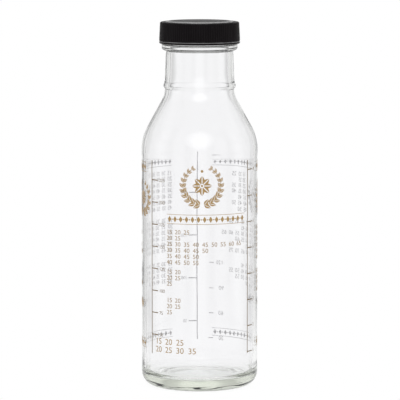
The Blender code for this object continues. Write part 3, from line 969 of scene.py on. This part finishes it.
def copies(points, shape, **more):
    """A copy of a shape at each point."""
    inputs = {"Points": points, "Instance": shape, **more}
    return place(points.tree, "GeometryNodeInstanceOnPoints", inputs)[0]


# %% Wrap group
PRINT_RADIUS = 0.02888
PRINT_THICKNESS = 0.00005
PRINT_WELD = 0.0000002

wrap, given = new_tree("wrap_on_bottle", "Geometry", {
    "Flat": "Geometry", "Angle": 0.0, "Stroke": 0.0})
flat = place(wrap, "ShaderNodeSeparateXYZ", {0: place(wrap, "GeometryNodeInputPosition")[0]})
around = flat["X"] / PRINT_RADIUS + given["Angle"]
x = maths("SINE", around) * PRINT_RADIUS
y = maths("COSINE", around) * -PRINT_RADIUS
skin = reshaped(realised(given["Flat"]), vector(wrap, x, y, flat["Y"]))
raised = place(wrap, "GeometryNodeExtrudeMesh", {
    "Mesh": skin, "Offset Scale": PRINT_THICKNESS, "Individual": False})["Mesh"]
solid = welded(joined(raised, flipped(skin)), PRINT_WELD)
give_shape(stored(solid, "stroke", given["Stroke"]))
print("Print lies", round((PRINT_RADIUS - PANEL_RADIUS) * 1000, 3), "mm off the glass")

# %% [markdown]
# ## Numbers
# A measuring scale needs a number at each tick. The zone below runs once for each point of a row of
# points: it turns that point's value into text, the text into outlines and the outlines into a
# flat mesh. So one group writes any row or column of plain numbers from a first value and a step.

# %% Numbers group
OUTLINE_RESOLUTION = 3

numbers, given = new_tree("numbers", "Geometry", {
    "Start": "Vector", "Spacing": "Vector", "Count": 5, "First Value": 1, "Value Step": 1, "Size": 0.0022})
zone_start = numbers.nodes.new("GeometryNodeForeachGeometryElementInput")
zone_end = numbers.nodes.new("GeometryNodeForeachGeometryElementOutput")
zone_start.pair_with_output(zone_end)
zone_end.domain = "POINT"
zone_end.input_items.new("FLOAT", "Value")
zone_end.input_items.new("VECTOR", "Where")
index = place(numbers, "GeometryNodeInputIndex")[0]
fill(zone_start, {
    "Geometry": points_row(numbers, given["Count"], given["Start"], given["Spacing"]),
    "Value": index * given["Value Step"] + given["First Value"],
    "Where": place(numbers, "GeometryNodeInputPosition")[0]})
each = Outputs(zone_start)
written = place(numbers, "FunctionNodeValueToString", {"Value": each["Value"]})[0]
outline = place(numbers, "GeometryNodeStringToCurves", {"String": written, "Size": given["Size"]},
    align_x="LEFT", align_y="MIDDLE")[0]
coarser = place(numbers, "GeometryNodeSetSplineResolution", {
    "Geometry": realised(outline), "Resolution": OUTLINE_RESOLUTION})[0]
filled = place(numbers, "GeometryNodeFillCurve", {"Curve": coarser}, mode="NGONS")[0]
fill(zone_end, {"Geometry": transformed(filled, Translation=each["Where"])})
give_shape(Outputs(zone_end)[2])

# %% [markdown]
# ## The three measuring rules
# Each rule is an upright line with ticks, and a tick is where that much liquid stands. In the
# straight body the level climbs 11.0 mm for 25 ml, 13.0 mm for an ounce and 22.0 mm for 50 ml. So a
# rule is the most regular thing there is, and one tree makes all three from their steps.

# %% Rule tree
SCALE_ZERO = 0.00613
SCALE_FOOT = 0.0184
SCALE_TOP = 0.1148
SCALE_LINE = 0.00048
TICK_LENGTH = 0.0046
TICK_COLUMNS = 5
NUMBER_GAP = 0.0009

rule, given = new_tree("rule", "Geometry", {
    "Tick Step": 0.011, "First Tick": 2, "Tick Count": 8, "Value Step": 25, "Number Size": 0.0024,
    "Angle": 0.0, "Finish": "Material"})
upright = bar(rule, SCALE_LINE, SCALE_TOP - SCALE_FOOT, 0.0, (SCALE_TOP + SCALE_FOOT) / 2)
tick = grid(rule, TICK_LENGTH - SCALE_LINE / 2, SCALE_LINE, TICK_COLUMNS)
first_z = given["Tick Step"] * given["First Tick"] + SCALE_ZERO
spacing = vector(rule, 0.0, given["Tick Step"])
start = vector(rule, (TICK_LENGTH + SCALE_LINE / 2) / 2, first_z)
ticks = copies(points_row(rule, given["Tick Count"], start, spacing), tick)
labels = use(rule, numbers, {
    "Start": vector(rule, TICK_LENGTH + NUMBER_GAP, first_z), "Spacing": spacing,
    "Count": given["Tick Count"], "First Value": given["First Tick"] * given["Value Step"],
    "Value Step": given["Value Step"], "Size": given["Number Size"]})[0]
wrapped = use(rule, wrap, {
    "Flat": joined(upright, ticks, labels), "Angle": given["Angle"], "Stroke": 1.0})[0]
give_finished(wrapped, given["Finish"])

# %% Three rules
OUNCE_STEP = 0.0130
RULE_ANGLES = {"left": -54.5, "right": 55.0, "back": 182.5}
RULES = {
    "left": {"Tick Step": 0.0110, "First Tick": 2, "Tick Count": 8, "Value Step": 25},
    "right": {"Tick Step": OUNCE_STEP, "First Tick": 1, "Tick Count": 8, "Value Step": 1},
    "back": {"Tick Step": 0.0220, "First Tick": 1, "Tick Count": 4, "Value Step": 50}}

for side, values in RULES.items():
    angle = math.radians(RULE_ANGLES[side])
    mesh = grown("rule", rule, {**values, "Angle": angle, "Finish": fired_print})
    add_piece("print_rule_" + side, mesh, "bottle", "fired_print", "scale_print_" + side)

# %% [markdown]
# ## Leaves
# The rest of the print is plain kitchen ornament and plain numbers. The ornament is leaves, seeds
# and star anise, and its leaves and pods are all drawn from one leaf. That leaf is a small grid
# whose rows are pulled in to a point at both ends, cut in two by a bare midrib. It is copied more
# than a hundred times, so its few faces matter more than its outline.

# %% Leaf group
LEAF_COLUMNS = 8
BELLY_POWER = 0.75
RIB_TAPER = 4.0
LEAF_WELD = 0.000004

leaf, given = new_tree("leaf", "Geometry", {"Length": 0.0034, "Width": 0.0013, "Midrib": 0.00012})
spot = place(leaf, "ShaderNodeSeparateXYZ", {0: place(leaf, "GeometryNodeInputPosition")[0]})
along = spot["X"] + 0.5
across = spot["Y"] + 0.5
belly = maths("SINE", maths("POWER", along, BELLY_POWER) * math.pi)
rib = maths("MINIMUM", belly * RIB_TAPER, 1.0) * given["Midrib"]
edge = across * (belly * given["Width"] * 0.5) + rib
half = reshaped(grid(leaf, 1.0, 1.0, LEAF_COLUMNS), vector(leaf, along * given["Length"], edge))
other = flipped(transformed(half, Scale=(1, -1, 1)))
give_shape(welded(joined(half, other), LEAF_WELD))

# %% [markdown]
# ## Sprays along a curve
# A spray is a stem with pairs of leaves that lean forward. The stem is an arc, resampled into even
# steps. At each step the tree sets one pair of leaves and turns it into the stem's direction, and
# the leaves shrink towards the tip. Two mirrored arcs make a wreath.


# %% Spray group
def turned_to(direction):
    """The rotation that points a shape's x axis in a direction."""
    return place(direction.tree, "FunctionNodeAlignRotationToVector", {"Vector": direction}, axis="X")[0]


LEAN = math.radians(38)
STEM_RESOLUTION = 24
TIP_SHRINK = 0.45

spray, given = new_tree("spray", "Geometry", {
    "Radius": 0.01, "Start Angle": 0.0, "Sweep": 2.5, "Pairs": 9, "Leaf Length": 0.0034,
    "Leaf Width": 0.0014, "Stem Width": 0.0003})
stem = place(spray, "GeometryNodeCurveArc", {
    "Radius": given["Radius"], "Start Angle": given["Start Angle"], "Sweep Angle": given["Sweep"],
    "Resolution": STEM_RESOLUTION})["Curve"]
strip = place(spray, "GeometryNodeCurvePrimitiveLine", {
    "Start": vector(spray, given["Stem Width"] * -0.5), "End": vector(spray, given["Stem Width"] * 0.5)})[0]
ribbon = place(spray, "GeometryNodeCurveToMesh", {"Curve": stem, "Profile Curve": strip})[0]
steps = place(spray, "GeometryNodeResampleCurve", {"Curve": stem, "Count": given["Pairs"]})[0]
progress = place(spray, "GeometryNodeSplineParameter")["Factor"]
blade = use(spray, leaf, {"Length": given["Leaf Length"], "Width": given["Leaf Width"]})[0]
pair = joined(transformed(blade, Rotation=(0, 0, LEAN)), transformed(blade, Rotation=(0, 0, -LEAN)))
forward = turned_to(place(spray, "GeometryNodeInputTangent")[0])
leaves = copies(steps, pair, Rotation=forward, Scale=progress * -TIP_SHRINK + 1.0)
give_shape(joined(ribbon, leaves))

# %% Seed and star groups
STAR_MIDRIB = 0.00022
HEART_SHARE = 0.62
HEART_SIDES = 12

seed, given = new_tree("seed", "Geometry", {"Radius": 0.0005, "Sides": 10})
give_shape(place(seed, "GeometryNodeMeshCircle", {
    "Vertices": given["Sides"], "Radius": given["Radius"]}, fill_type="NGON")[0])

star, given = new_tree("star", "Geometry", {
    "Points": 8, "Pod Length": 0.004, "Pod Width": 0.0022, "Heart": 0.0009})
hub = place(star, "GeometryNodeMeshCircle", {"Vertices": given["Points"], "Radius": given["Heart"]})[0]
pod = use(star, leaf, {
    "Length": given["Pod Length"], "Width": given["Pod Width"], "Midrib": STAR_MIDRIB})[0]
pods = copies(hub, pod, Rotation=turned_to(place(star, "GeometryNodeInputPosition")[0]))
heart = use(star, seed, {"Radius": given["Heart"] * HEART_SHARE, "Sides": HEART_SIDES})[0]
give_shape(joined(pods, heart))

# %% [markdown]
# ## Borders and blocks of numbers
# A border is a hairline, a row of lozenges with seeds between them, and another hairline, so its
# tree needs only a place and a count. The panels are filled with blocks of plain numbers, whose rows
# are not equally long. Here a list gives the length of each row, and the numbers group writes it.

# %% Border group
HAIRLINE = 0.00022
HAIRLINE_COLUMNS = 28
LOZENGE_RADIUS_SHARE = 0.34
LOZENGE_NARROW = (0.62, 1, 1)
DOT_RADIUS = 0.00034
DOT_SIDES = 8

border, given = new_tree("border", "Geometry", {
    "Left": -0.015, "Low": 0.084, "Count": 12, "Pitch": 0.003, "Height": 0.0046})
left, low, count, pitch, tall = (given[label] for label in ("Left", "Low", "Count", "Pitch", "Height"))
middle = tall * 0.5 + low
length = count * pitch
centre = length * 0.5 + left
step = vector(border, pitch)
hairlines = [bar(border, length, HAIRLINE, centre, z, HAIRLINE_COLUMNS) for z in (low, low + tall)]
lozenge = use(border, seed, {"Radius": tall * LOZENGE_RADIUS_SHARE, "Sides": 4})[0]
row = points_row(border, count, vector(border, pitch * 0.5 + left, middle), step)
lozenges = copies(row, transformed(lozenge, Scale=LOZENGE_NARROW))
between = points_row(border, count - 1.0, vector(border, pitch + left, middle), step)
dots = copies(between, use(border, seed, {"Radius": DOT_RADIUS, "Sides": DOT_SIDES})[0])
give_shape(joined(*hairlines, lozenges, dots))

# %% Blocks of numbers
ROW_HEIGHT = 0.0030
NUMBER_PITCH = 0.0046
NUMBER_SIZE = 0.0031
FIRST_NUMBER = 15
NUMBER_STEP = 5


def number_block(left, top, counts, size=NUMBER_SIZE):
    """Rows of plain two-figure numbers, one below the other. Counts gives the length of each row."""
    scale = size / NUMBER_SIZE
    shapes = []
    for row, count in enumerate(counts):
        values = {
            "Start": (left, top - row * ROW_HEIGHT * scale, 0), "Spacing": (NUMBER_PITCH * scale, 0, 0),
            "Count": count, "First Value": FIRST_NUMBER + NUMBER_STEP * row, "Value Step": NUMBER_STEP,
            "Size": size}
        shapes.append((numbers, values, (0, 0)))
    return shapes


def number_blocks(*blocks):
    """Several blocks, each given by its left edge, its top and the lengths of its rows."""
    return [shape for block in blocks for shape in number_block(*block)]


print("Rows of numbers:", round(ROW_HEIGHT * 1000, 1), "mm apart")

# %% [markdown]
# ## Printing a panel
# The three rules divide the girth into three panels. Each panel gets its own pieces: a wreath, a
# border, a foot and blocks of numbers, and the two rear panels also get sprigs. The fine strokes
# of the numbers are a little darker than the solid shapes. Each piece is a small tree: a list of
# groups with their places, joined, wrapped and painted.


# %% Printed pieces
def printed(name, degrees, stroke, shapes):
    """A printed piece. Each shape is (group, values, place) with the place in metres on the flat."""
    tree, asked = new_tree(name, "Geometry", {"Angle": math.radians(degrees), "Finish": "Material"})
    flats = [
        transformed(use(tree, group, values)[0], Translation=(x, y, 0)) for group, values, (x, y) in shapes]
    skin = use(tree, wrap, {"Flat": joined(*flats), "Angle": asked["Angle"], "Stroke": stroke})[0]
    give_finished(skin, asked["Finish"])
    mesh = grown(name, tree, {"Angle": math.radians(degrees), "Finish": fired_print})
    add_piece(name, mesh, "bottle", "fired_print")


WREATH_START = 0.12
WREATH_SWEEP = 142


def wreath(radius, pairs):
    """Two mirrored sprays that start together at the foot of a circle."""
    common = {"Radius": radius, "Pairs": pairs, "Leaf Length": 0.0036, "Leaf Width": 0.0017}
    return [
        (spray, {**common, "Start Angle": math.radians(-90) + side * WREATH_START,
            "Sweep": math.radians(side * WREATH_SWEEP)}, (0, 0))
        for side in (1, -1)]


def moved(shapes, x, y):
    """The same shapes, moved on the flat."""
    return [(group, values, (a + x, b + y)) for group, values, (a, b) in shapes]


# %% Front panel
SOLID = 0.0
FINE = 0.35
FRONT_EDGE = -0.0172
FOOT_NUMBERS = (-0.0245, 0.0250, (3, 4), 0.0042)

front = wreath(0.0095, 10) + [(star, {}, (0, 0)), (seed, {"Radius": 0.0007}, (0, 0.0072))]
front_rows = number_blocks(
    (FRONT_EDGE, 0.0800, (3, 2, 9, 5, 4, 4)), (FRONT_EDGE, 0.0602, (2, 2, 1)),
    (FRONT_EDGE, 0.0460, (2, 2, 1)))
printed("print_front_wreath", 0, SOLID, moved(front, 0.0012, 0.1032))
printed("print_front_border", 0, SOLID, [(border, {"Left": -0.0170, "Low": 0.0842, "Count": 14}, (0, 0))])
printed("print_front_numbers", 0, FINE, front_rows)
printed("print_front_foot", 0, SOLID, number_block(*FOOT_NUMBERS))

# %% Left and right panels
PANELS = {
    "left": {
        "angle": -116, "border": {"Left": -0.0170, "Count": 14}, "wreath": 0.0205, "sprig": 0.0130,
        "blocks": [
            (-0.0170, 0.1045, (5, 4, 6, 5, 6, 4, 5)), (-0.0170, 0.0800, (6, 7, 5, 7, 8, 6)),
            (-0.0170, 0.0580, (7, 6, 8, 5))]},
    "right": {
        "angle": 118.75, "border": {"Left": -0.0210, "Count": 15}, "wreath": -0.0115, "sprig": -0.0100,
        "blocks": [
            (0.0000, 0.1045, (3, 2, 3, 3, 2, 3, 2)), (-0.0210, 0.0800, (8, 6, 9, 7, 5, 8)),
            (-0.0210, 0.0580, (6, 8, 7, 5))]}}
BORDER_LOW = 0.1085
WREATH_HEIGHT = 0.0955
SPRIG_HEIGHT = 0.0290
FOOT_BORDER = {"Low": 0.0205, "Height": 0.0040}

sprig = [(spray, {
    "Radius": 0.014, "Start Angle": math.radians(60), "Sweep": math.radians(50), "Pairs": 6}, (0, 0))]
star_wreath = wreath(0.0078, 8) + [(star, {"Pod Length": 0.0032, "Pod Width": 0.0018}, (0, 0))]
for side, panel in PANELS.items():
    pieces = {
        "border": (SOLID, [(border, {**panel["border"], "Low": BORDER_LOW}, (0, 0))]),
        "wreath": (SOLID, moved(star_wreath, panel["wreath"], WREATH_HEIGHT)),
        "numbers": (FINE, number_blocks(*panel["blocks"])),
        "sprigs": (SOLID, moved(sprig, panel["sprig"], SPRIG_HEIGHT)),
        "foot": (SOLID, [(border, {**panel["border"], **FOOT_BORDER}, (0, 0))])}
    for kind, (stroke, shapes) in pieces.items():
        printed("print_" + side + "_" + kind, panel["angle"], stroke, shapes)

# %% [markdown]
# ## A second column at the back
# Beside the back rule there is a short column of numbers for every 30 ml, which is about an ounce,
# each with a dash. It takes the same step as the ounces of the right rule.

# %% Dashes group
DASH_COLUMNS = 3

dashes, given = new_tree("dashes", "Geometry", {
    "Start": "Vector", "Spacing": "Vector", "Count": 4, "Length": 0.0024, "Width": 0.00034})
row = points_row(dashes, given["Count"], given["Start"], given["Spacing"])
give_shape(copies(row, grid(dashes, given["Length"], given["Width"], DASH_COLUMNS)))

# %% Second column at the back
NUMBERS_X = -0.0146
DASHES_X = -0.0075

ounces = {"Spacing": (0, OUNCE_STEP, 0), "Count": 4}
first = SCALE_ZERO + OUNCE_STEP
ounce_numbers = {
    **ounces, "Start": (NUMBERS_X, first, 0), "First Value": 30, "Value Step": 30, "Size": 0.0030}
ounce_dashes = {**ounces, "Start": (DASHES_X, first, 0)}
printed("print_back_numbers", RULE_ANGLES["back"], FINE, [
    (numbers, ounce_numbers, (0, 0)), (dashes, ounce_dashes, (0, 0))])
